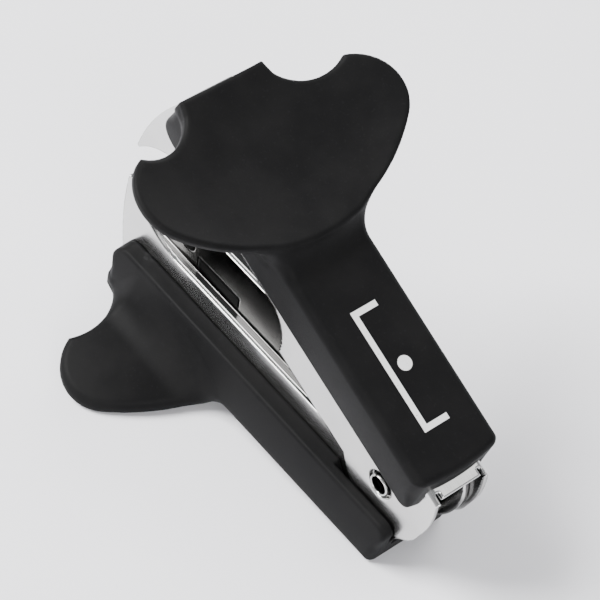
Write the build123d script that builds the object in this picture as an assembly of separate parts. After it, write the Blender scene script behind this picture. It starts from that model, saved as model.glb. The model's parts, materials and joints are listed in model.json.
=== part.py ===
from build123d import *
import math
import os

# A jaw-type staple remover. Two stamped steel channels nest in each other and turn on a rolled
# pin, a torsion spring holds them open, and each carries a moulded plastic grip with a winged
# finger rest.
#
# Each jaw is drawn in its own frame: X forward from the hinge axis, Y to the left, and Z outward
# from the plane midway between the closed jaws. open_upper() and open_lower() turn the jaws to
# their open places, and the last lines put the origin under the middle of the object, on the
# table: +X towards the mouth, +Y left, +Z up.

os.makedirs("parts", exist_ok=True)

OPENING = 22.5                # angle between the two jaws when open, degrees

# Steel channels
SHEET = 0.8                   # thickness of the steel
WEB_OUT = 10.4                # outer face of the web from the mid-plane
WEB_REAR = -6.3               # rear edge of the web
OUTER_HALF = 4.9              # half the width of the outer, upper channel
INNER_HALF = 4.0              # half the width of the inner, lower channel
BEND_OUT = 1.1                # outside radius of the bends
BEND_IN = 0.3                 # inside radius of the bends
NOTCH_LENGTH = 1.1            # relief notches beside the rear edge of the web
NOTCH_WIDTH = 0.7

# Openings in the channel walls that hold the lugs of the grips
WINDOW_REAR = 39.6
WINDOW_FRONT = 49.2
WINDOW_LOW = 6.7
WINDOW_HIGH = 9.2
HOLE_X = 51.9
HOLE_Z = 5.8
HOLE_R = 1.6

# Hinge
PIN_R = 2.15
PIN_WALL = 0.55
PIN_SEAM = 0.35               # gap left by rolling the pin from strip
SEAM_ANGLE = 35.0
BORE_CLEARANCE = 0.05         # the lower channel turns on the pin
EAR_R = 8.3                   # ears of the lower channel, about the hinge axis
STOP_GAP = 0.05               # play between the stop on each lower ear and the upper web

# Torsion spring
WIRE_R = 0.45
COIL_R = 2.95                 # centre line of the wire
COIL_HALF = 2.55              # half the coil's length along the pin
LEG_REACH = 14.0              # how far forward the legs meet the webs

# Plastic grips
GRIP_REAR = -3.4              # rear end of the outer face
REAR_SLANT = 1.5              # how much further back the side walls end
GRIP_FRONT = 57.2
GRIP_TOP = 13.7               # outer face of the handle from the mid-plane
GRIP_HALF = 7.4               # half the width across the outer face
SKIRT_HALF = 6.35             # and at the inner edge of the side walls
CAVITY_PLAY = 0.05            # between the channel's walls and the side walls
EDGE_R = 1.4                  # rounding of the long outer edges
SKIRT_REAR = 5.0              # inner edge of the side walls at the rear
SKIRT_FRONT = 4.5             # and at the front
CORNER_REAR = 2.0             # rounding of the side walls' lower corners
CORNER_FRONT = 3.0
HEEL_R = 1.2                  # rounding of the rear edge of the outer face
LUG_PLAY = 0.05               # between each lug and its opening
EAR_ROOM = 9.7                # the lower grip is hollowed to this radius for the upper ears
EAR_ROOM_HALF = 5.1

# Winged finger rest, heights above the handle
RIM_X = 32.2                  # crest of the rear rim on the centre line
RIM_RISE = 3.1
RIM_ARC_R = 28.5              # plan radius of the rim
DISH_MID_X = 44.0
DISH_MID_RISE = 0.5
TONGUE_RISE = 0.35
DISH_R = 60.0                 # sideways curvature of the finger rest
LOBE_REAR_X = 40.6            # where each lobe leaves the rim's arc
LOBE_X = 45.9                 # outermost point of each lobe
LOBE_Y = 22.3
SHOULDER = (52.4, 17.6)       # where each lobe ends in front
NECK = (51.6, 12.2)           # the hollow between lobe and tongue
TONGUE_CORNER = (55.0, 7.7)
TONGUE_HALF = 7.1
PLATE = 2.2                   # thickness of the wings
RIM_COVE_R = 3.6              # concave blend behind the rim
WING_COVE_R = 5.0             # concave blends under the wings
COVE_SINK = 0.8               # how far these blends reach into the wings


def block(x0, x1, y0, y1, z0, z1):
    return Pos((x0 + x1) / 2, (y0 + y1) / 2, (z0 + z1) / 2) * Box(x1 - x0, y1 - y0, z1 - z0)


def cross_bar(radius, x, z, half_width):
    """A cylinder along Y."""
    return Pos(x, 0, z) * Rot(90, 0, 0) * Cylinder(radius, 2 * half_width)


def polyline(*points):
    """Straight edges through (x, z) points of the jaw's side view."""
    return Polyline(*[(x, 0, z) for x, z in points]).edges()


def arc(*points):
    """A circular edge through three (x, z) points of the jaw's side view."""
    return ThreePointArc(*[(x, 0, z) for x, z in points]).edges()


def side_solid(edges, half_width):
    """A closed side view made solid from -half_width to half_width."""
    return extrude(make_face(edges), half_width, both=True)


def both_sides(shape):
    return shape + shape.mirror(Plane.XZ)


def open_upper(shape):
    return Rot(0, -NOSE_UP - OPENING, 0) * shape


def open_lower(shape):
    return Rot(0, -NOSE_UP, 0) * shape.mirror(Plane.XY)


# Steel channels

def upper_outline():
    """Side of the upper channel: rounded ear, straight edge, raised cut-out and front claw."""
    edges = arc((WEB_REAR, WEB_OUT), (-8.1, 6.3), (-8.7, 1.6))
    edges += arc((-8.7, 1.6), (-6.7, -4.8), (-1.0, -6.9))
    edges += arc((-1.0, -6.9), (3.8, -6.1), (6.6, -4.0))
    edges += polyline((6.6, -4.0), (23.2, -4.3))
    edges += arc((23.2, -4.3), (25.0, -0.6), (28.2, 1.5))
    edges += polyline((28.2, 1.5), (47.0, 1.5))
    edges += arc((47.0, 1.5), (54.0, -0.9), (58.2, -7.0))
    edges += polyline((58.2, -7.0), (58.7, -7.0))
    edges += arc((58.7, -7.0), (59.2, 1.0), (57.6, WEB_OUT))
    edges += polyline((57.6, WEB_OUT), (WEB_REAR, WEB_OUT))
    return edges


def lower_outline():
    """Side of the lower channel: ear round the pin, straight inner edge and front claw."""
    rear = (-2.4, WEB_OUT)
    edges = arc(rear, (-6.2, 6.4), (-EAR_R, 0.0))
    edges += arc((-EAR_R, 0.0), (0.0, -EAR_R), (EAR_R, 0.0))
    edges += polyline((EAR_R, 0.0), (9.4, 0.4), (46.0, 0.4))
    edges += arc((46.0, 0.4), (53.2, -1.7), (58.2, -7.0))
    edges += polyline((58.2, -7.0), (58.7, -7.0))
    edges += arc((58.7, -7.0), (58.9, 2.0), (57.6, WEB_OUT))
    edges += polyline((57.6, WEB_OUT), rear)
    return edges


def channel(outline, half_width):
    """A stamped channel: two walls with the given outline, and the web that joins them."""
    body = side_solid(outline, half_width)
    bends = body.edges().filter_by(Axis.X).filter_by_position(Axis.Z, WEB_OUT - 0.01, WEB_OUT + 0.01)
    body = fillet(bends, BEND_OUT)
    inside = half_width - SHEET
    web_in = WEB_OUT - SHEET
    hollow = block(-30, 80, -inside, inside, -40, web_in)
    corners = hollow.edges().filter_by(Axis.X).filter_by_position(Axis.Z, web_in - 0.01, web_in + 0.01)
    body -= fillet(corners, BEND_IN)
    body -= block(-30, WEB_REAR, -inside, inside, 0, WEB_OUT + 1)
    notch = block(WEB_REAR - 1, WEB_REAR + NOTCH_LENGTH, inside - NOTCH_WIDTH, inside,
                  web_in - 1, WEB_OUT + 1)
    body -= both_sides(notch)
    body -= block(WINDOW_REAR, WINDOW_FRONT, -20, 20, WINDOW_LOW, WINDOW_HIGH)
    body -= cross_bar(HOLE_R, HOLE_X, HOLE_Z, 20)
    return body


def ear_stop():
    """The top of a lower ear, in the upper jaw's frame: it bears on the upper web when open."""
    level = WEB_OUT - SHEET - STOP_GAP
    edges = polyline((-3.0, 0.0), (-5.4, 7.0), (-4.4, level), (0.5, level), (3.0, 0.0), (-3.0, 0.0))
    plate = side_solid(edges, INNER_HALF)
    return plate - block(-30, 30, -INNER_HALF + SHEET, INNER_HALF - SHEET, -30, 30)


def upper_jaw():
    return channel(upper_outline(), OUTER_HALF) - cross_bar(PIN_R, 0, 0, 20)


def lower_jaw():
    stop = (Rot(0, -OPENING, 0) * ear_stop()).mirror(Plane.XY)
    body = channel(lower_outline(), INNER_HALF) + stop
    return body - cross_bar(PIN_R + BORE_CLEARANCE, 0, 0, 20)


# Plastic grips

def handle_section():
    """Section across the handle: a flat back with rounded edges, and sides that draw in."""
    low = SKIRT_FRONT - 1
    half = Line((-SKIRT_HALF, low), (SKIRT_HALF, low)).edges()
    for side in (-1, 1):
        bottom = (side * SKIRT_HALF, low)
        middle = (side * (GRIP_HALF + SKIRT_HALF + 0.6) / 2, (low + GRIP_TOP) / 2)
        half += ThreePointArc(bottom, middle, (side * GRIP_HALF, GRIP_TOP)).edges()
    half += Line((-GRIP_HALF, GRIP_TOP), (GRIP_HALF, GRIP_TOP)).edges()
    flat = make_face(half)
    flat = fillet(flat.vertices().sort_by(Axis.Y)[-2:], EDGE_R)
    return Plane.YZ * flat


def handle_side():
    """Side view of the handle: slanted rear end, rounded corners, walls that deepen forwards."""
    top = GRIP_TOP + TONGUE_RISE
    low_rear = GRIP_REAR - REAR_SLANT
    outline = Polyline((low_rear, SKIRT_REAR), (GRIP_REAR, GRIP_TOP), (RIM_X, GRIP_TOP), (RIM_X, top),
                       (GRIP_FRONT, top), (GRIP_FRONT, SKIRT_FRONT), close=True)
    flat = make_face(outline.edges())
    flat = fillet(flat.vertices().sort_by_distance((low_rear, SKIRT_REAR))[0], CORNER_REAR)
    flat = fillet(flat.vertices().sort_by_distance((GRIP_FRONT, SKIRT_FRONT))[0], CORNER_FRONT)
    flat = fillet(flat.vertices().sort_by_distance((GRIP_REAR, GRIP_TOP))[0], HEEL_R)
    return extrude(Plane.XZ * flat, GRIP_HALF + 1, both=True)


def dish_arc():
    """Centre line of the finger rest: a circle through its rim, middle and tongue."""
    points = [(RIM_X, RIM_RISE), (DISH_MID_X, DISH_MID_RISE), (GRIP_FRONT, TONGUE_RISE)]
    (ax, az), (bx, bz), (cx, cz) = points
    d = 2 * (ax * (bz - cz) + bx * (cz - az) + cx * (az - bz))
    a, b, c = (x * x + z * z for x, z in points)
    x = (a * (bz - cz) + b * (cz - az) + c * (az - bz)) / d
    z = (a * (cx - bx) + b * (ax - cx) + c * (bx - ax)) / d
    return x, z, math.hypot(ax - x, az - z)


def dish_rise(x, y=0.0):
    """Height of the finger rest above the handle."""
    centre_x, centre_z, radius = dish_arc()
    along = centre_z - math.sqrt(radius ** 2 - (x - centre_x) ** 2)
    return DISH_R - math.sqrt((DISH_R - along) ** 2 - y ** 2)


def dish_section(thickness):
    """Side section of the finger rest on the centre line, longer than the rest at both ends."""
    xs = (RIM_X - 2.0, DISH_MID_X, GRIP_FRONT + 2.0)
    top = [(x, GRIP_TOP + dish_rise(x)) for x in xs]
    low = [(x, z - thickness) for x, z in reversed(top)]
    return make_face(arc(*top) + polyline(top[2], low[0]) + arc(*low) + polyline(low[2], top[0]))


def dished(face, degrees):
    """The section turned about a high axis along X, which lifts it towards both sides."""
    axis = Axis((0, 0, GRIP_TOP + DISH_R), (1, 0, 0))
    return revolve(face.rotate(axis, -degrees), axis, 2 * degrees)


def wing_plan():
    """Plan of the finger rest: arched rear rim, two round lobes and the squared tongue."""
    centre = RIM_X + RIM_ARC_R
    lobe_y = math.sqrt(RIM_ARC_R ** 2 - (centre - LOBE_REAR_X) ** 2)
    shape = ThreePointArc((LOBE_REAR_X, -lobe_y), (RIM_X, 0), (LOBE_REAR_X, lobe_y)).edges()
    for side in (-1, 1):
        start = (LOBE_REAR_X, side * lobe_y)
        shoulder = (SHOULDER[0], side * SHOULDER[1])
        corner = (TONGUE_CORNER[0], side * TONGUE_CORNER[1])
        shape += ThreePointArc(start, (LOBE_X, side * LOBE_Y), shoulder).edges()
        shape += ThreePointArc(shoulder, (NECK[0], side * NECK[1]), corner).edges()
        shape += Line(corner, (GRIP_FRONT, side * TONGUE_HALF)).edges()
    shape += Line((GRIP_FRONT, -TONGUE_HALF), (GRIP_FRONT, TONGUE_HALF)).edges()
    return make_face(shape)


def rim_cove():
    """The concave blend that rises from the handle to the rear face of the rim."""
    size = RIM_COVE_R
    bulge = size * math.sin(math.radians(45))
    foot = (RIM_X - size, GRIP_TOP)
    crest_z = GRIP_TOP + RIM_RISE - 0.15
    crest = (RIM_X - size + math.sqrt(size ** 2 - (GRIP_TOP + size - crest_z) ** 2), crest_z)
    edges = arc(foot, (foot[0] + bulge, GRIP_TOP + size - bulge), crest)
    edges += polyline(crest, (RIM_X + 1.5, crest_z), (RIM_X + 1.5, WEB_OUT), (foot[0], WEB_OUT), foot)
    axis = Axis((RIM_X + RIM_ARC_R, 0, 0), (0, 0, 1))
    blend = revolve(make_face(edges).rotate(axis, -25), axis, 50)
    return blend & block(0, 60, -GRIP_HALF + 0.4, GRIP_HALF - 0.4, 0, 30)


def wing_coves():
    """The concave blends between the side walls and the underside of the wings."""
    size = WING_COVE_R
    front = NECK[0]
    z_rear = GRIP_TOP + dish_rise(RIM_X, GRIP_HALF) - PLATE + COVE_SINK
    z_front = GRIP_TOP + dish_rise(front, GRIP_HALF) - PLATE + COVE_SINK
    length = math.hypot(front - RIM_X, z_rear - z_front)
    slope = math.degrees(math.atan2(z_rear - z_front, front - RIM_X))
    bar = block(0, length, -1.2, size, -size, 0)
    bar -= Pos(length / 2, size, -size) * Rot(0, 90, 0) * Cylinder(size, 2 * length)
    bar = Pos(RIM_X, GRIP_HALF - 0.3, z_rear) * Rot(0, slope, 0) * bar
    return both_sides(bar)


def lugs(channel_half):
    """The lugs that reach in from the side walls and lock in the openings of the channel."""
    inner = channel_half - SHEET
    outer = channel_half + 0.5
    bar = block(WINDOW_REAR + LUG_PLAY, WINDOW_FRONT - LUG_PLAY, inner, outer,
                WINDOW_LOW + LUG_PLAY, WINDOW_HIGH - LUG_PLAY)
    boss = cross_bar(HOLE_R - LUG_PLAY, HOLE_X, HOLE_Z, (outer - inner) / 2)
    return both_sides(bar + Pos(0, (inner + outer) / 2, 0) * boss)


def grip(channel_half):
    """A moulded grip: handle, winged finger rest and the lugs for a channel of this half width."""
    rear = GRIP_REAR - REAR_SLANT
    rail = Pos(rear, 0, 0) * extrude(handle_section(), GRIP_FRONT - rear)
    rail = rail & handle_side()
    plan = extrude(wing_plan(), 40)
    wings = dished(dish_section(PLATE), 24) & plan
    core = dished(dish_section(RIM_RISE + 1.0), 10) & plan
    core = core & block(RIM_X - 5, GRIP_FRONT, -GRIP_HALF, GRIP_HALF, WEB_OUT, 30)
    body = rail + wings + core + rim_cove() + (wing_coves() & plan)
    cavity = channel_half + CAVITY_PLAY
    body -= block(rear - 1, GRIP_FRONT + 1, -cavity, cavity, -20, WEB_OUT)
    return body + lugs(channel_half)


def lower_grip():
    """The lower grip is also hollowed at the rear, where the upper jaw's ears turn."""
    return grip(INNER_HALF) - cross_bar(EAR_ROOM, 0, 0, EAR_ROOM_HALF)


def resting_tilt():
    """Nose-up angle of the lower jaw, which stands on its rear edge and on the two lobes."""
    heel = GRIP_REAR + HEEL_R
    tilt = 0.0
    for edge in wing_plan().edges():
        for step in range(41):
            point = edge @ (step / 40)
            rise = dish_rise(point.X, point.Y)
            tilt = max(tilt, math.degrees(math.atan2(rise, point.X - heel)))
    return tilt


# Hinge

def pivot_pin():
    """A pin rolled from strip, open along one seam."""
    pin = cross_bar(PIN_R, 0, 0, OUTER_HALF) - cross_bar(PIN_R - PIN_WALL, 0, 0, OUTER_HALF + 1)
    seam = block(0, 2 * PIN_R, -OUTER_HALF - 1, OUTER_HALF + 1, -PIN_SEAM / 2, PIN_SEAM / 2)
    return pin - Rot(0, -SEAM_ANGLE, 0) * seam


def spring_leg(y):
    """One leg of the spring in a jaw's frame: it leaves the coil forwards and meets the web."""
    start = Vector(-0.6, y, COIL_R - 0.15)
    end = Vector(LEG_REACH, y, WEB_OUT - SHEET - WIRE_R - 0.02)
    along = end - start
    return Plane(start + along / 2, z_dir=along) * Cylinder(WIRE_R, along.length)


def torsion_spring():
    coil = cross_bar(COIL_R + WIRE_R, 0, 0, COIL_HALF) - cross_bar(COIL_R - WIRE_R, 0, 0, COIL_HALF + 1)
    reach = COIL_HALF - WIRE_R - 0.1
    return coil + open_upper(spring_leg(reach)) + open_lower(spring_leg(-reach))


NOSE_UP = resting_tilt()

nodes = {
    "upper_jaw": open_upper(upper_jaw()),
    "lower_jaw": open_lower(lower_jaw()),
    "upper_cover": open_upper(grip(OUTER_HALF)),
    "lower_cover": open_lower(lower_grip()),
    "pivot_pin": pivot_pin(),
    "torsion_spring": torsion_spring(),
}

# The origin goes under the middle of the object, on the surface that it stands on.
whole = Compound(children=[shape.solid() for shape in nodes.values()]).bounding_box()
hinge = Vector(-(whole.min.X + whole.max.X) / 2, 0, -whole.min.Z)
for name, shape in nodes.items():
    part = (Pos(hinge) * shape).solid()
    part.label = name
    export_step(part, f"parts/{name}.step")

print("hinge axis at", [round(value, 4) for value in hinge])
print("lower jaw nose up by", round(NOSE_UP, 4))
print("size", [round(value, 3) for value in whole.size])
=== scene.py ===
"""Looks of the staple remover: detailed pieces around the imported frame, floor, lights and camera.

Each jaw is made in its own frame, in millimetres: x forward from the hinge axis, y to the left
and z outward from the plane between the closed jaws. Shapes are distance fields (negative
inside), turned into meshes by dual contouring, then carried into the row frame in metres.
"""

import json
import math

import bpy
import numpy as np
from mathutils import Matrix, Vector


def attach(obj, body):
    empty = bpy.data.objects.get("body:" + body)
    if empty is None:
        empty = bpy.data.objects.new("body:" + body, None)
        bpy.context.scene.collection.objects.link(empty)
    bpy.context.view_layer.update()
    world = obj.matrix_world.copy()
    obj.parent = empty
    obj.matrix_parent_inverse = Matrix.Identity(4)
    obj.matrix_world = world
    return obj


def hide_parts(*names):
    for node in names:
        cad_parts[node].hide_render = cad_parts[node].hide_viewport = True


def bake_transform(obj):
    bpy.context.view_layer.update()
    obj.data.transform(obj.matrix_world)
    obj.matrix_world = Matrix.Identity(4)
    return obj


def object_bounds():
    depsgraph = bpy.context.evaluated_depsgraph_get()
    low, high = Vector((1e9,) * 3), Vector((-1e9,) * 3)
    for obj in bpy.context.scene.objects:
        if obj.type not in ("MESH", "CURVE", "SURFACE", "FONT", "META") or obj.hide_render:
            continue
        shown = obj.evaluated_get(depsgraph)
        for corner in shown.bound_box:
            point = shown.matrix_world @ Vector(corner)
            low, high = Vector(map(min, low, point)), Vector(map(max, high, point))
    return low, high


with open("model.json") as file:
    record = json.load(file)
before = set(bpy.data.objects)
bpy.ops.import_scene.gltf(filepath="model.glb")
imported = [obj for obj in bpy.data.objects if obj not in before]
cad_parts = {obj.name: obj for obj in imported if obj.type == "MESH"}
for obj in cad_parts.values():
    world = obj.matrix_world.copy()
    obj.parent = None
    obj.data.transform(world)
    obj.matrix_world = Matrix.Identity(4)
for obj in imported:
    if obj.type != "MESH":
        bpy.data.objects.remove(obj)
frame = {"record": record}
cad_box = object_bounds()

RECORD = frame["record"]
MM = 0.001

# Steel channels
SHEET = 0.8
WEB_OUT = 10.4
WEB_REAR = -6.3
OUTER_HALF = 4.9
INNER_HALF = 4.0
BEND_OUT = 1.1
NOTCH_LENGTH = 1.1
NOTCH_WIDTH = 0.7
WINDOW = (39.6, 49.2, 6.7, 9.2)
HOLE = (51.9, 5.8, 1.6)
BURR_R = 0.1
BORE_EDGE_R = 0.25
WINDOW_CORNER_R = 0.3
NOTCH_CORNER_R = 0.15
NOTCH_BEHIND = 2.7
NOTCH_DEEP = 0.3
WEB_CUT_DEEP = 0.6
OUTLINE_TOP_GAP = 1.0

# Hinge
PIN_R = 2.15
PIN_WALL = 0.55
PIN_SEAM = 0.35
PIN_NECK = 4.0
PIN_NECK_RUN = 0.25
PIN_NECK_OUTSIDE = 0.45
PIN_NECK_INSIDE = 0.2
PIN_PROUD = 0.3
PIN_SEAM_EDGE_R = 0.12
PIN_END_R = 0.14
SEAM_ANGLE = 35.0
PIN_GAP = 0.12
BORE_CLEARANCE = 0.05
EAR_R = 8.3

# Torsion spring
WIRE_R = 0.45
COIL_R = 2.95
COIL_HALF = 2.05
COIL_TURNS = 4
LEG_REACH = 14.0

# Grips
GRIP_REAR = -3.4
REAR_SLANT = 1.5
REAR_BOW = 0.8
GRIP_FRONT = 57.2
GRIP_TOP = 13.7
GRIP_HALF = 7.4
SKIRT_HALF = 6.35
SKIRT_REAR = 5.0
SKIRT_FRONT = 4.5
LEDGE_LIFT = 0.12
CAVITY_PLAY = 0.05
EAR_ROOM = 9.7
EAR_ROOM_HALF = 5.1
RIM_X = 32.2
RIM_RISE = 3.1
RIM_ARC_R = 28.5
DISH_MID_X = 44.0
DISH_MID_RISE = 0.5
TONGUE_RISE = 0.35
DISH_R = 60.0
LOBE_REAR_X = 40.6
LOBE = (45.9, 22.3)
SHOULDER = (52.4, 17.6)
NECK = (51.6, 12.2)
TONGUE_CORNER = (55.0, 7.7)
TONGUE_HALF = 7.1
PLATE = 2.2
PLATE_EDGE_R = 1.0
DISH_EDGE_R = 0.75
FLANK_BULGE = 1.2
BACK_EDGE_R = 0.9
REAR_CORNER_R = 2.0
FRONT_CORNER_R = 3.0
FRONT_EDGE_R = 0.35
FRONT_CORNER_Z = (8.5, 10.5)
SKIRT_EDGE_R = 0.5
FLANK_EDGE_GAIN = 0.9
FLANK_EDGE_Z = (6.0, 10.0)
ROOT_DEPTH = 3.5
ROOT_Y = (5.0, 8.5)
COVE_R = 4.7
COVE_END_R = 0.3
COVE_END_X = (50.5, 55.5)
CAVITY_EDGE_R = 0.15


# Frames of the two jaws, from the hinge and the outward normals of the grips

def jaw_axes(face_mount):
    mount = next(m for m in RECORD["mounts"] if m["name"] == face_mount)
    outward = np.array(mount["axis"], float)
    outward /= np.linalg.norm(outward)
    forward = np.array([abs(outward[2]), 0, -outward[0] * np.sign(outward[2])])
    return np.array([forward, [0, 1, 0], outward])


HINGE = np.array(RECORD["behaviour"]["joints"][0]["pos_m"], float)
AXES = {"upper": jaw_axes("upper_grip_face"), "lower": jaw_axes("lower_grip_face")}


def to_row(points, body):
    return HINGE + np.asarray(points) * MM @ AXES[body]


# Distance fields

def round_max(a, b, r):
    """Intersection with its edge rounded to radius r."""
    u = np.maximum(a + r, 0)
    v = np.maximum(b + r, 0)
    return np.minimum(np.maximum(a, b), -r) + np.sqrt(u * u + v * v)


def round_min(a, b, r):
    """Union with a concave fillet of radius r."""
    return -round_max(-a, -b, r)


def smooth_step(x, low, high):
    t = np.clip((x - low) / (high - low), 0, 1)
    return t * t * (3 - 2 * t)


def box_2d(u, v, u0, u1, v0, v1, r=0.0):
    qu = np.abs(u - (u0 + u1) / 2) - (u1 - u0) / 2 + r
    qv = np.abs(v - (v0 + v1) / 2) - (v1 - v0) / 2 + r
    return np.hypot(np.maximum(qu, 0), np.maximum(qv, 0)) + np.minimum(np.maximum(qu, qv), 0) - r


def circle(a, b, c):
    """Centre and radius of the circle through three points."""
    (ax, ay), (bx, by), (cx, cy) = a, b, c
    d = 2 * (ax * (by - cy) + bx * (cy - ay) + cx * (ay - by))
    sa, sb, sc = ax * ax + ay * ay, bx * bx + by * by, cx * cx + cy * cy
    x = (sa * (by - cy) + sb * (cy - ay) + sc * (ay - by)) / d
    y = (sa * (cx - bx) + sb * (ax - cx) + sc * (bx - ax)) / d
    return x, y, math.hypot(ax - x, ay - y)


def arc_points(a, b, c, count=48):
    """Points on the circle through a, b and c, after a and up to c."""
    ox, oy, r = circle(a, b, c)
    t0, t1, t2 = (math.atan2(y - oy, x - ox) for x, y in (a, b, c))
    turn = 2 * math.pi
    sweep = (t2 - t0) % turn
    if (t1 - t0) % turn > sweep:
        sweep -= turn
    t = t0 + sweep * np.arange(1, count + 1) / count
    return [(ox + r * math.cos(q), oy + r * math.sin(q)) for q in t]


def trace(start, *steps):
    """A closed outline: a step is a point, or (through, end) for an arc."""
    points = [start]
    for step in steps:
        if isinstance(step[0], tuple):
            points += arc_points(points[-1], *step)
        else:
            points.append(step)
    return np.array(points)


class Outline:
    """Signed distance to a closed outline, kept on a fine grid and read by interpolation."""

    STEP = 0.125
    MARGIN = 4.0

    def __init__(self, points):
        self.low = points.min(0) - self.MARGIN
        count = np.ceil((points.max(0) + self.MARGIN - self.low) / self.STEP).astype(int) + 1
        us = self.low[0] + self.STEP * np.arange(count[0])
        vs = self.low[1] + self.STEP * np.arange(count[1])
        u, v = np.meshgrid(us, vs, indexing="ij")
        nearest = np.full(u.shape, 1e9)
        inside = np.zeros(u.shape, bool)
        for (ax, ay), (bx, by) in zip(points, np.roll(points, -1, 0)):
            ex, ey = bx - ax, by - ay
            length = ex * ex + ey * ey
            if length < 1e-12:
                continue
            t = np.clip(((u - ax) * ex + (v - ay) * ey) / length, 0, 1)
            nearest = np.minimum(nearest, (u - ax - t * ex) ** 2 + (v - ay - t * ey) ** 2)
            if ay != by:
                inside ^= ((ay > v) != (by > v)) & (u < ax + (v - ay) * ex / ey)
        self.values = np.where(inside, -1, 1) * np.sqrt(nearest)

    def __call__(self, u, v):
        top = np.array(self.values.shape) - 1.001
        fu = np.clip((u - self.low[0]) / self.STEP, 0, top[0])
        fv = np.clip((v - self.low[1]) / self.STEP, 0, top[1])
        i, j = fu.astype(int), fv.astype(int)
        fu, fv = fu - i, fv - j
        g = self.values
        return ((g[i, j] * (1 - fu) + g[i + 1, j] * fu) * (1 - fv)
                + (g[i, j + 1] * (1 - fu) + g[i + 1, j + 1] * fu) * fv)


# Meshes from distance fields

def contour(field, low, high, step):
    """Dual contouring: vertices (mm) and quads of the surface where the field is zero."""
    low = np.array(low, float)
    count = np.ceil((np.array(high) - low) / step).astype(int) + 1
    axes = [low[k] + step * np.arange(count[k]) for k in range(3)]
    x, y, z = np.meshgrid(*axes, indexing="ij", sparse=True)
    values = np.broadcast_to(field(x, y, z), count).astype(np.float64)
    solid = values < 0

    def slope(p):
        h = 0.004
        g = [field(*(p + h * e).T) - field(*(p - h * e).T) for e in np.eye(3)]
        g = np.stack(g, 1)
        return g / np.maximum(np.linalg.norm(g, axis=1, keepdims=True), 1e-9)

    cells = count - 1
    crossings, normals, owners, quads = [], [], [], []
    flat = (cells[1] * cells[2], cells[2], 1)
    for k in range(3):
        a = [slice(None)] * 3
        b = [slice(None)] * 3
        a[k], b[k] = slice(None, -1), slice(1, None)
        change = solid[tuple(a)] != solid[tuple(b)]
        index = np.argwhere(change)
        va = values[tuple(a)][change]
        vb = values[tuple(b)][change]
        p = low + step * index
        p[:, k] += step * va / (va - vb)
        # one secant step sharpens the crossing where the field isn't linear
        n = slope(p)
        along = n[:, k]
        miss = field(*p.T)
        safe = np.abs(along) > 0.3
        shift = np.clip(np.where(safe, -miss / np.where(safe, along, 1), 0), -step / 3, step / 3)
        p[:, k] += shift
        n = slope(p)
        i, j = [m for m in range(3) if m != k]
        around = []
        for di, dj in ((0, 0), (1, 0), (1, 1), (0, 1)):
            cell = index.copy()
            cell[:, i] -= di
            cell[:, j] -= dj
            around.append(cell @ np.array(flat))
        around = np.stack(around, 1)
        flip = solid[tuple(a)][change] != (k == 1)
        around[~flip] = around[~flip][:, ::-1]
        crossings.append(np.repeat(p, 4, 0))
        normals.append(np.repeat(n, 4, 0))
        owners.append(around.reshape(-1))
        quads.append(around)
    crossings, normals = np.concatenate(crossings), np.concatenate(normals)
    owners, quads = np.concatenate(owners), np.concatenate(quads)
    used, slot = np.unique(owners, return_inverse=True)
    total = len(used)
    hits = np.bincount(slot, minlength=total)
    mean = np.stack([np.bincount(slot, crossings[:, k], total) for k in range(3)], 1) / hits[:, None]
    matrix = np.zeros((total, 3, 3))
    target = np.zeros((total, 3))
    gap = np.einsum("ij,ij->i", normals, crossings - mean[slot])
    for r in range(3):
        target[:, r] = np.bincount(slot, normals[:, r] * gap, total)
        for c in range(3):
            matrix[:, r, c] = np.bincount(slot, normals[:, r] * normals[:, c], total)
    matrix += 0.06 * np.eye(3)
    offset = np.linalg.solve(matrix, target[..., None])[..., 0]
    offset = np.clip(offset, -0.75 * step, 0.75 * step)
    return mean + offset, np.searchsorted(used, quads)


def piece(name, points, faces, body, material, slot, node):
    """A mesh piece from points in a jaw's frame, which it keeps in the attribute jaw_mm."""
    mesh = bpy.data.meshes.new(name)
    if body == "lower":
        faces = faces[:, ::-1]
    mesh.from_pydata(to_row(points, body).tolist(), [], faces.tolist())
    mesh.validate()
    mesh.shade_smooth()
    place = mesh.attributes.new("jaw_mm", "FLOAT_VECTOR", "POINT")
    place.data.foreach_set("vector", np.asarray(points, np.float32).reshape(-1))
    mesh.materials.append(material)
    made = bpy.data.objects.new(name, mesh)
    bpy.context.scene.collection.objects.link(made)
    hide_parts(node)
    return made


# Steel channels

def upper_outline():
    return trace(
        (WEB_REAR, WEB_OUT), ((-8.1, 6.3), (-8.7, 1.6)), ((-6.7, -4.8), (-1.0, -6.9)),
        ((3.8, -6.1), (6.6, -4.0)), (23.2, -4.3), ((25.0, -0.6), (28.2, 1.5)), (47.0, 1.5),
        ((54.0, -0.9), (58.2, -7.0)), (58.7, -7.0), ((59.2, 1.0), (57.6, WEB_OUT)))


def lower_outline():
    return trace(
        (-2.4, WEB_OUT), ((-6.2, 6.4), (-EAR_R, 0.0)), ((0.0, -EAR_R), (EAR_R, 0.0)), (9.4, 0.4),
        (46.0, 0.4), ((53.2, -1.7), (58.2, -7.0)), (58.7, -7.0), ((58.9, 2.0), (57.6, WEB_OUT)))


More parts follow.
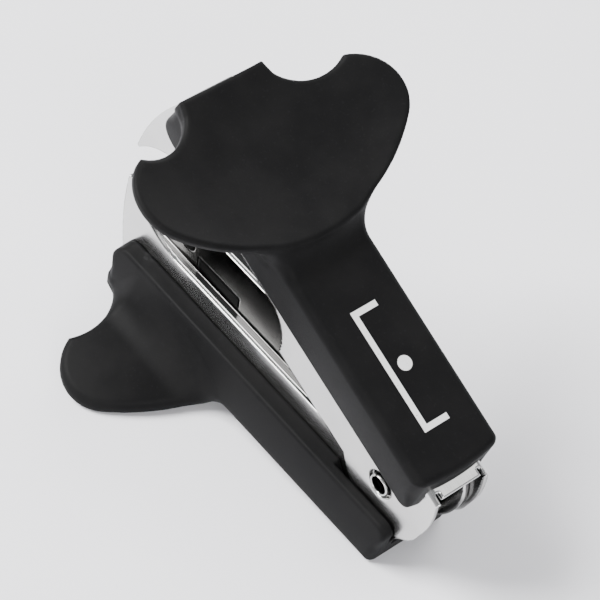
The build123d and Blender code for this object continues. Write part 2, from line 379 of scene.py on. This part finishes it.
def channel_field(outline, half, bore):
    """A bent sheet with the given side outline, its holes and the relief beside the web."""
    middle = half - SHEET / 2
    bend = BEND_OUT - SHEET / 2
    shape = Outline(outline)

    def field(x, y, z):
        side = np.abs(y)
        qy = side - (middle - bend)
        qz = z - (WEB_OUT - SHEET / 2 - bend)
        section = np.hypot(np.maximum(qy, 0), np.maximum(qz, 0)) + np.minimum(np.maximum(qy, qz), 0)
        sheet = np.abs(section - bend) - SHEET / 2
        edge = shape(x, np.minimum(z, WEB_OUT - OUTLINE_TOP_GAP))
        body = round_max(sheet, edge, BURR_R)
        inner = half - SHEET
        web_cut = np.maximum(np.maximum(x - WEB_REAR, side - inner), WEB_OUT - SHEET - WEB_CUT_DEEP - z)
        notch = box_2d(x, side, WEB_REAR - NOTCH_BEHIND, WEB_REAR + NOTCH_LENGTH,
                       inner - NOTCH_WIDTH, inner, NOTCH_CORNER_R)
        notch = np.maximum(notch, WEB_OUT - SHEET - NOTCH_DEEP - z)
        body = round_max(body, -web_cut, BURR_R)
        body = round_max(body, -notch, BURR_R)
        window = box_2d(x, z, *WINDOW, WINDOW_CORNER_R)
        hole = np.hypot(x - HOLE[0], z - HOLE[1]) - HOLE[2]
        pin = np.hypot(x, z) - bore
        body = round_max(body, -np.minimum(window, hole), BURR_R)
        return round_max(body, -pin, BORE_EDGE_R)

    return field


# Grips

# centre (x, z) and radius of the line along the middle of the finger rest, above the handle's back
DISH_ARC = circle((RIM_X, RIM_RISE), (DISH_MID_X, DISH_MID_RISE), (GRIP_FRONT, TONGUE_RISE))


def dish_top(x, y):
    ox, oz, r = DISH_ARC
    along = oz - np.sqrt(np.maximum(r * r - (x - ox) ** 2, 1.0))
    return GRIP_TOP + DISH_R - np.sqrt(np.maximum((DISH_R - along) ** 2 - y * y, 1.0))


def wing_plan():
    centre = RIM_X + RIM_ARC_R
    lobe_y = math.sqrt(RIM_ARC_R ** 2 - (centre - LOBE_REAR_X) ** 2)

    def mirrored(point):
        return point[0], -point[1]

    return trace(
        (RIM_X, 0.0), (arc_points((LOBE_REAR_X, -lobe_y), (RIM_X, 0.0), (LOBE_REAR_X, lobe_y), 4)[2],
                       (LOBE_REAR_X, lobe_y)),
        (LOBE, SHOULDER), (NECK, TONGUE_CORNER), (GRIP_FRONT, TONGUE_HALF), (GRIP_FRONT, -TONGUE_HALF),
        mirrored(TONGUE_CORNER), (mirrored(NECK), mirrored(SHOULDER)),
        (mirrored(LOBE), (LOBE_REAR_X, -lobe_y)),
        (arc_points((LOBE_REAR_X, lobe_y), (RIM_X, 0.0), (LOBE_REAR_X, -lobe_y), 4)[2], (RIM_X, 0.0)))


WING_PLAN = Outline(wing_plan())


def grip_field(channel_half, bow, ear_room):
    """Handle, winged finger rest, cavity for the channel and the lugs that lock in it."""
    slant = REAR_SLANT / (GRIP_TOP - SKIRT_REAR)
    low = SKIRT_FRONT - 1

    def field(x, y, z):
        side = np.abs(y)
        t = np.clip((z - low) / (GRIP_TOP - low), 0, 1)
        half = SKIRT_HALF + (GRIP_HALF - SKIRT_HALF) * t + FLANK_BULGE * t * (1 - t)
        flank = side - half
        skirt = SKIRT_REAR + (SKIRT_FRONT - SKIRT_REAR) * (x - GRIP_REAR) / (GRIP_FRONT - GRIP_REAR)
        bottom = skirt - LEDGE_LIFT * (SKIRT_HALF - side) - z
        rear = GRIP_REAR - slant * (GRIP_TOP - z) - bow * (1 - (y / GRIP_HALF) ** 2) - x
        profile = round_max(bottom, rear / math.hypot(1, slant), REAR_CORNER_R)
        front_r = FRONT_CORNER_R * (1 - smooth_step(z, *FRONT_CORNER_Z)) + FRONT_EDGE_R
        profile = round_max(profile, x - GRIP_FRONT, front_r)
        profile = round_max(profile, z - GRIP_TOP, BACK_EDGE_R)
        edge_r = SKIRT_EDGE_R + FLANK_EDGE_GAIN * smooth_step(z, *FLANK_EDGE_Z)
        rail = round_max(profile, flank, edge_r)

        top = dish_top(x, y)
        lean = np.sqrt(1 + (side / DISH_R) ** 2 + 0.02)
        above = (z - top) / lean
        root = ROOT_DEPTH * (1 - smooth_step(side, *ROOT_Y))
        below = (top - PLATE - root - z) / lean
        plan = WING_PLAN(x, y)
        plate = round_max(plan, below, PLATE_EDGE_R)
        cove = COVE_END_R + COVE_R * (1 - smooth_step(x, *COVE_END_X))
        body = round_min(rail, plate, cove)
        body = round_max(body, above, DISH_EDGE_R)

        cavity = np.maximum(side - channel_half - CAVITY_PLAY, z - WEB_OUT)
        body = round_max(body, -cavity, CAVITY_EDGE_R)
        if ear_room:
            room = np.maximum(np.hypot(x, z) - EAR_ROOM, side - EAR_ROOM_HALF)
            body = round_max(body, -room, CAVITY_EDGE_R)
        window = box_2d(x, z, *WINDOW, WINDOW_CORNER_R) + CAVITY_PLAY
        boss = np.hypot(x - HOLE[0], z - HOLE[1]) - HOLE[2] + CAVITY_PLAY
        lug = np.maximum(np.minimum(window, boss), np.abs(side - channel_half) - SHEET - 0.02)
        return np.minimum(body, lug)

    return field


# Hinge pin and spring

def pin_field(x, y, z):
    """A rolled tube with an open seam; its ends draw in and stand a little proud of the ears."""
    r = np.hypot(x, z)
    neck = smooth_step(np.abs(y), PIN_NECK, PIN_NECK + PIN_NECK_RUN)
    outer = PIN_R - PIN_NECK_OUTSIDE * neck
    inner = PIN_R - PIN_WALL - PIN_NECK_INSIDE * neck
    wall = np.abs(r - (outer + inner) / 2) - (outer - inner) / 2
    a = math.radians(SEAM_ANGLE)
    across = np.abs(-x * math.sin(a) + z * math.cos(a)) - PIN_SEAM / 2
    seam = np.maximum(across, -(x * math.cos(a) + z * math.sin(a)))
    body = round_max(wall, -seam, PIN_SEAM_EDGE_R)
    return round_max(body, np.abs(y) - OUTER_HALF - PIN_PROUD, PIN_END_R)


def spring_path():
    """Centre line of the wire in the row frame: upper leg, coil, lower leg."""
    stop = WEB_OUT - SHEET - WIRE_R - 0.03
    distance = math.hypot(LEG_REACH, stop)
    lift = math.atan2(stop, LEG_REACH) + math.acos(COIL_R / distance)
    touch = (COIL_R * math.cos(lift), COIL_R * math.sin(lift))
    legs = {}
    for body, y in (("upper", COIL_HALF), ("lower", -COIL_HALF)):
        t = np.linspace(1, 0, 24)[:, None]
        leg = np.array([touch[0], y, touch[1]]) * (1 - t) + np.array([LEG_REACH, y, stop]) * t
        legs[body] = to_row(leg, body)
    start = legs["upper"][-1] - HINGE
    end = legs["lower"][-1] - HINGE
    a0 = math.atan2(start[2], start[0])
    a1 = math.atan2(end[2], end[0]) + 2 * math.pi * (1 + COIL_TURNS)
    t = np.linspace(0, 1, 60 * COIL_TURNS)
    a = a0 + (a1 - a0) * t
    y = COIL_HALF * (1 - 2 * t)
    coil = HINGE + MM * np.stack([COIL_R * np.cos(a), y, COIL_R * np.sin(a)], 1)
    return np.concatenate([legs["upper"][:-1], coil, legs["lower"][::-1][1:]])


def tube(path, radius, sides=16):
    """A round wire along a path, with domed ends."""
    tangent = np.gradient(path, axis=0)
    tangent /= np.linalg.norm(tangent, axis=1, keepdims=True)
    normal = np.cross(tangent, [0, 1, 0])
    normal /= np.linalg.norm(normal, axis=1, keepdims=True)
    other = np.cross(tangent, normal)
    angle = 2 * math.pi * np.arange(sides) / sides
    ring = np.cos(angle)[None, :, None] * normal[:, None] + np.sin(angle)[None, :, None] * other[:, None]
    rings = path[:, None] + radius * ring
    cap = []
    for end, sign in ((0, -1), (-1, 1)):
        for lean in (30, 60):
            c, s = math.cos(math.radians(lean)), math.sin(math.radians(lean))
            cap.append(path[end] + radius * (c * ring[end] + sign * s * tangent[end]))
    rings = np.concatenate([[cap[1], cap[0]], rings, [cap[2], cap[3]]])
    tips = [path[0] - radius * tangent[0], path[-1] + radius * tangent[-1]]
    points = np.concatenate([rings.reshape(-1, 3), tips])
    faces = []
    for i in range(len(rings) - 1):
        for j in range(sides):
            k = (j + 1) % sides
            faces.append([i * sides + j, i * sides + k, (i + 1) * sides + k, (i + 1) * sides + j])
    last = (len(rings) - 1) * sides
    first_tip = len(points) - 2
    for j in range(sides):
        k = (j + 1) % sides
        faces.append([first_tip, k, j])
        faces.append([first_tip + 1, last + j, last + k])
    return points, faces


# Materials

class Shader:
    """A principled material with helpers for its node tree."""

    def __init__(self, name):
        self.material = bpy.data.materials.new(name)
        self.material.use_nodes = True
        self.tree = self.material.node_tree
        self.surface = self.tree.nodes["Principled BSDF"]

    def node(self, kind, settings=(), **inputs):
        made = self.tree.nodes.new(kind)
        for key, value in dict(settings).items():
            setattr(made, key, value)
        for key, value in inputs.items():
            self.feed(made.inputs[key.replace("_", " ")], value)
        return made

    def feed(self, socket, value):
        if isinstance(value, bpy.types.NodeSocket):
            self.tree.links.new(value, socket)
        else:
            socket.default_value = value

    def math(self, operation, *values):
        made = self.tree.nodes.new("ShaderNodeMath")
        made.operation = operation
        for socket, value in zip(made.inputs, values):
            self.feed(socket, value)
        return made.outputs[0]

    def ramp(self, value, low, high, out_low, out_high):
        made = self.node("ShaderNodeMapRange", {"interpolation_type": "SMOOTHSTEP"})
        for key, number in (("Value", value), ("From Min", low), ("From Max", high),
                            ("To Min", out_low), ("To Max", out_high)):
            self.feed(made.inputs[key], number)
        return made.outputs["Result"]

    def mix(self, factor, a, b):
        made = self.node("ShaderNodeMix", {"data_type": "RGBA"})
        self.feed(made.inputs["Factor"], factor)
        self.feed(made.inputs[6], a)
        self.feed(made.inputs[7], b)
        return made.outputs[2]

    def place(self):
        """Coordinates in millimetres in the jaw's frame."""
        return self.node("ShaderNodeAttribute", {"attribute_name": "jaw_mm"}).outputs["Vector"]

    def scaled(self, vector, scale):
        made = self.node("ShaderNodeVectorMath", {"operation": "MULTIPLY"})
        self.feed(made.inputs[0], vector)
        made.inputs[1].default_value = scale
        return made.outputs[0]

    def noise(self, vector, scale, detail, roughness):
        made = self.node("ShaderNodeTexNoise", Vector=vector, Scale=scale, Detail=detail,
                         Roughness=roughness)
        return made.outputs["Fac"]

    def bump(self, height, distance, strength):
        made = self.node("ShaderNodeBump", Height=height, Distance=distance, Strength=strength)
        return made.outputs["Normal"]


PLASTIC = (0.0065, 0.0065, 0.0067, 1)
PLASTIC_CLOUD = (0.0090, 0.0089, 0.0090, 1)
PLASTIC_SPECK = (0.013, 0.013, 0.0135, 1)
PRINT = (0.74, 0.74, 0.73, 1)
NICKEL = (0.58, 0.578, 0.57, 1)
NICKEL_STAIN = (0.53, 0.528, 0.52, 1)
# painted shade for the inner faces of the channels, where they would mirror the dark grips above
INSIDE_PAINTED_SHADE = (0.13, 0.129, 0.127, 1)
# painted shade for the gap between the pin and the edge of its hole
GAP_PAINTED_SHADE = (0.02, 0.02, 0.02, 1)
# the painted shade inside fades out over this depth into the sheet
EDGE = (0.02, 0.12)

MARK_X = 11.8
MARK_HALF = 9.4
MARK_LINE = 0.45
MARK_CROWN_Y = 1.75
MARK_LEG_HALF = 2.2
MARK_SOFT = 0.04
MARK_DEPTH = 0.3
DOT_Y = -0.9
DOT_R = (1.05, 1.13)


def black_plastic(name, printed):
    """Moulded black plastic with a fine spark-eroded grain, paler specks and uneven gloss."""
    s = Shader(name)
    place = s.place()
    grain = s.noise(place, 5.5, 2.0, 0.6)
    cloud = s.noise(place, 0.12, 3.0, 0.55)
    speck = s.noise(place, 2.1, 1.0, 0.5)
    tone = s.ramp(cloud, 0.3, 0.7, 0.0, 1.0)
    colour = s.mix(tone, PLASTIC, PLASTIC_CLOUD)
    colour = s.mix(s.ramp(speck, 0.62, 0.75, 0.0, 0.3), colour, PLASTIC_SPECK)
    rough = s.math("ADD", s.ramp(cloud, 0.3, 0.7, 0.42, 0.52), s.ramp(grain, 0.3, 0.7, -0.04, 0.04))
    if printed:
        mask = staple_mark(s, place)
        worn = s.ramp(s.noise(place, 3.0, 3.0, 0.7), 0.30, 0.36, 0.0, 1.0)
        mask = s.math("MULTIPLY", mask, worn)
        colour = s.mix(mask, colour, PRINT)
        rough = s.math("ADD", rough, s.math("MULTIPLY", mask, 0.12))
    s.feed(s.surface.inputs["Base Color"], colour)
    s.feed(s.surface.inputs["Roughness"], rough)
    s.surface.inputs["Specular IOR Level"].default_value = 0.035
    s.feed(s.surface.inputs["Normal"], s.bump(grain, 0.00003, 0.5))
    return s.material


def staple_mark(s, place):
    """A plain printed pictogram on the handle's back: an open staple and a dot."""
    split = s.node("ShaderNodeSeparateXYZ", Vector=place)
    x, y, z = (split.outputs[k] for k in range(3))

    def bar(cx, cy, half_x, half_y):
        inside = []
        for value, centre, half in ((x, cx, half_x), (y, cy, half_y)):
            away = s.math("ABSOLUTE", s.math("SUBTRACT", value, centre))
            inside.append(s.ramp(away, half - MARK_SOFT, half + MARK_SOFT, 1.0, 0.0))
        return s.math("MULTIPLY", *inside)

    crown = bar(MARK_X, MARK_CROWN_Y, MARK_HALF, MARK_LINE)
    near = bar(MARK_X - MARK_HALF + MARK_LINE, 0.0, MARK_LINE, MARK_LEG_HALF)
    far = bar(MARK_X + MARK_HALF - MARK_LINE, 0.0, MARK_LINE, MARK_LEG_HALF)
    dx = s.math("SUBTRACT", x, MARK_X)
    dy = s.math("SUBTRACT", y, DOT_Y)
    away = s.math("SQRT", s.math("ADD", s.math("MULTIPLY", dx, dx), s.math("MULTIPLY", dy, dy)))
    dot = s.ramp(away, *DOT_R, 1.0, 0.0)
    mask = s.math("MAXIMUM", s.math("MAXIMUM", crown, near), s.math("MAXIMUM", far, dot))
    return s.math("MULTIPLY", mask, s.math("GREATER_THAN", z, GRIP_TOP - MARK_DEPTH))


def plated_steel(name, base, dark, rough, inside=None, inner_half=0.0, shade_under=0.0):
    """Nickel-plated sheet with fine rolling marks along it and faint stains.

    A colour for inside paints shade on the inner faces, within inner_half, under the web and ahead of
    the ears, where the channel would mirror the dark grips. shade_under paints shade on a pin up to
    that distance from its middle, where it lies in the gap of its hole.
    """
    s = Shader(name)
    place = s.place()
    rolled = s.noise(s.scaled(place, (0.12, 5.0, 5.0)), 1.0, 2.0, 0.5)
    stain = s.noise(place, 0.11, 3.0, 0.6)
    colour = s.mix(s.ramp(stain, 0.35, 0.7, 0.0, 1.0), base, dark)
    if inside:
        split = s.node("ShaderNodeSeparateXYZ", Vector=place)
        depth = s.math("ABSOLUTE", split.outputs[1])
        web_in = WEB_OUT - SHEET
        in_walls = s.ramp(depth, inner_half + EDGE[0], inner_half + EDGE[1], 1.0, 0.0)
        in_web = s.ramp(split.outputs[2], web_in + EDGE[0], web_in + EDGE[1], 1.0, 0.0)
        forward = s.ramp(split.outputs[0], 3.0, 12.0, 0.0, 1.0)
        under_web = s.ramp(split.outputs[2], -2.5, 3.0, 0.0, 1.0)
        # painted shade: the inner faces of the channel are darkened towards the colour for inside
        painted_shade = s.math("MULTIPLY", in_walls, in_web)
        painted_shade = s.math("MULTIPLY", painted_shade, s.math("MAXIMUM", forward, under_web))
        colour = s.mix(painted_shade, colour, inside)
    if shade_under:
        depth = s.math("ABSOLUTE", s.node("ShaderNodeSeparateXYZ", Vector=place).outputs[1])
        # painted shade: the pin turns nearly black where it lies recessed in the gap of its hole
        painted_gap_shade = s.ramp(depth, shade_under - 0.15, shade_under + 0.05, 1.0, 0.0)
        colour = s.mix(painted_gap_shade, colour, GAP_PAINTED_SHADE)
    level = s.ramp(stain, 0.3, 0.7, rough - 0.02, rough + 0.04)
    level = s.math("ADD", level, s.ramp(rolled, 0.3, 0.7, -0.02, 0.02))
    s.feed(s.surface.inputs["Base Color"], colour)
    s.surface.inputs["Metallic"].default_value = 1.0
    s.feed(s.surface.inputs["Roughness"], level)
    s.feed(s.surface.inputs["Normal"], s.bump(rolled, 0.000001, 0.05))
    return s.material


def floor_material():
    s = Shader("floor_pale")
    place = s.node("ShaderNodeTexCoord").outputs["Object"]
    cloud = s.noise(place, 3.0, 2.0, 0.5)
    s.feed(s.surface.inputs["Base Color"], s.mix(cloud, (0.86, 0.855, 0.885, 1), (0.90, 0.895, 0.925, 1)))
    s.surface.inputs["Roughness"].default_value = 0.7
    s.surface.inputs["Specular IOR Level"].default_value = 0.2
    return s.material


# The pieces

upper_steel = plated_steel("upper_nickel_steel", NICKEL, NICKEL_STAIN, 0.20, INSIDE_PAINTED_SHADE, OUTER_HALF - SHEET)
lower_steel = plated_steel("lower_nickel_steel", NICKEL, NICKEL_STAIN, 0.20, INSIDE_PAINTED_SHADE, INNER_HALF - SHEET)
pin_steel = plated_steel("pin_steel", (0.58, 0.575, 0.56, 1), (0.50, 0.495, 0.48, 1), 0.25,
                         shade_under=OUTER_HALF)
wire_steel = plated_steel("wire_steel", (0.62, 0.615, 0.60, 1), (0.48, 0.475, 0.46, 1), 0.30)
plastic_marked = black_plastic("black_plastic_marked", True)
plastic = black_plastic("black_plastic", False)

JAW_LOW = (-10.5, -5.6, -8.0)
JAW_HIGH = (60.5, 5.6, 11.2)
LOWER_JAW_LOW = (-10.5, -5.6, -10.0)
GRIP_LOW = (-7.0, -24.0, 2.5)
GRIP_HIGH = (58.5, 24.0, 22.5)
PIN_LOW = (-3.0, -5.5, -3.0)
PIN_HIGH = (3.0, 5.5, 3.0)
JAW_STEP = 0.22
GRIP_STEP = 0.28
PIN_STEP = 0.12

shape = channel_field(upper_outline(), OUTER_HALF, PIN_R + PIN_GAP)
upper_jaw = piece("upper_jaw_steel", *contour(shape, JAW_LOW, JAW_HIGH, JAW_STEP),
                  "upper", upper_steel, "upper_jaw", "upper_jaw")
shape = channel_field(lower_outline(), INNER_HALF, PIN_R + BORE_CLEARANCE)
lower_jaw = piece("lower_jaw_steel", *contour(shape, LOWER_JAW_LOW, JAW_HIGH, JAW_STEP),
                  "lower", lower_steel, "lower_jaw", "lower_jaw")
shape = grip_field(OUTER_HALF, REAR_BOW, False)
upper_grip = piece("upper_grip", *contour(shape, GRIP_LOW, GRIP_HIGH, GRIP_STEP),
                   "upper", plastic_marked, "upper_cover", "upper_cover")
shape = grip_field(INNER_HALF, 0.0, True)
lower_grip = piece("lower_grip", *contour(shape, GRIP_LOW, GRIP_HIGH, GRIP_STEP),
                   "lower", plastic, "lower_cover", "lower_cover")
pin = piece("hinge_pin", *contour(pin_field, PIN_LOW, PIN_HIGH, PIN_STEP),
            "upper", pin_steel, "pivot_pin", "pivot_pin")
for made, body in ((upper_jaw, "upper"), (upper_grip, "upper"), (pin, "upper"),
                   (lower_jaw, "lower"), (lower_grip, "lower")):
    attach(made, body)

wire_points, wire_faces = tube(spring_path(), WIRE_R * MM)
mesh = bpy.data.meshes.new("spring_wire")
mesh.from_pydata(wire_points.tolist(), [], wire_faces)
mesh.validate()
mesh.shade_smooth()
place = mesh.attributes.new("jaw_mm", "FLOAT_VECTOR", "POINT")
place.data.foreach_set("vector", ((wire_points - HINGE) / MM).astype(np.float32).reshape(-1))
mesh.materials.append(wire_steel)
spring = bpy.data.objects.new("spring_wire", mesh)
bpy.context.scene.collection.objects.link(spring)
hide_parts("torsion_spring")
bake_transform(spring)


# Floor, lights and camera

bpy.ops.mesh.primitive_plane_add(size=6.0, location=(0, 0, 0))
floor = bpy.context.object
floor.name = "floor"
floor.data.materials.append(floor_material())


def studio_world():
    """A soft surround, bright at the horizon and dim overhead."""
    world = bpy.data.worlds.new("studio")
    bpy.context.scene.world = world
    world.use_nodes = True
    tree = world.node_tree
    up = tree.nodes.new("ShaderNodeSeparateXYZ")
    tree.links.new(tree.nodes.new("ShaderNodeTexCoord").outputs["Generated"], up.inputs[0])
    fade = tree.nodes.new("ShaderNodeMapRange")
    fade.interpolation_type = "SMOOTHSTEP"
    tree.links.new(up.outputs["Z"], fade.inputs["Value"])
    for key, number in (("From Min", 0.05), ("From Max", 0.65), ("To Min", 0.85), ("To Max", 0.42)):
        fade.inputs[key].default_value = number
    background = tree.nodes["Background"]
    background.inputs["Color"].default_value = (0.96, 0.97, 1.0, 1)
    tree.links.new(fade.outputs["Result"], background.inputs["Strength"])


studio_world()

CENTRE = Vector(((cad_box[0][0] + cad_box[1][0]) / 2, 0, (cad_box[0][2] + cad_box[1][2]) / 2))


def area_light(name, direction, distance, size, power):
    data = bpy.data.lights.new(name, "AREA")
    data.shape = "RECTANGLE"
    data.size, data.size_y = size
    data.energy = power
    lamp = bpy.data.objects.new(name, data)
    bpy.context.scene.collection.objects.link(lamp)
    lamp.location = CENTRE + Vector(direction).normalized() * distance
    lamp.rotation_euler = (CENTRE - lamp.location).to_track_quat("-Z", "Y").to_euler()


area_light("key_light", (0.7, 0.6, 1.0), 0.9, (0.5, 0.5), 24.0)
area_light("fill_light", (-1.0, 0.5, 0.55), 0.9, (0.6, 0.4), 6.0)
area_light("far_light", (0.5, -1.0, 0.5), 0.9, (0.6, 0.4), 6.0)
area_light("top_light", (-0.33, -0.48, 0.82), 0.9, (0.4, 0.4), 1.0)

AZIMUTH = math.radians(226.0)
ELEVATION = math.radians(46.5)
ROLL = math.radians(5.5)
VIEW_DISTANCE = 0.39
VIEW = Vector((math.sin(AZIMUTH) * math.cos(ELEVATION), -math.cos(AZIMUTH) * math.cos(ELEVATION),
               math.sin(ELEVATION)))
camera_data = bpy.data.cameras.new("camera")
camera = bpy.data.objects.new("camera", camera_data)
bpy.context.scene.collection.objects.link(camera)
bpy.context.scene.camera = camera
camera_data.lens = 169.0
camera_data.sensor_width = 36.0
camera_data.clip_start = 0.01
turn = (-VIEW).to_track_quat("-Z", "Y")
camera.rotation_euler = turn.to_euler()
camera.rotation_euler.rotate_axis("Z", ROLL)
camera.location = CENTRE + VIEW * VIEW_DISTANCE
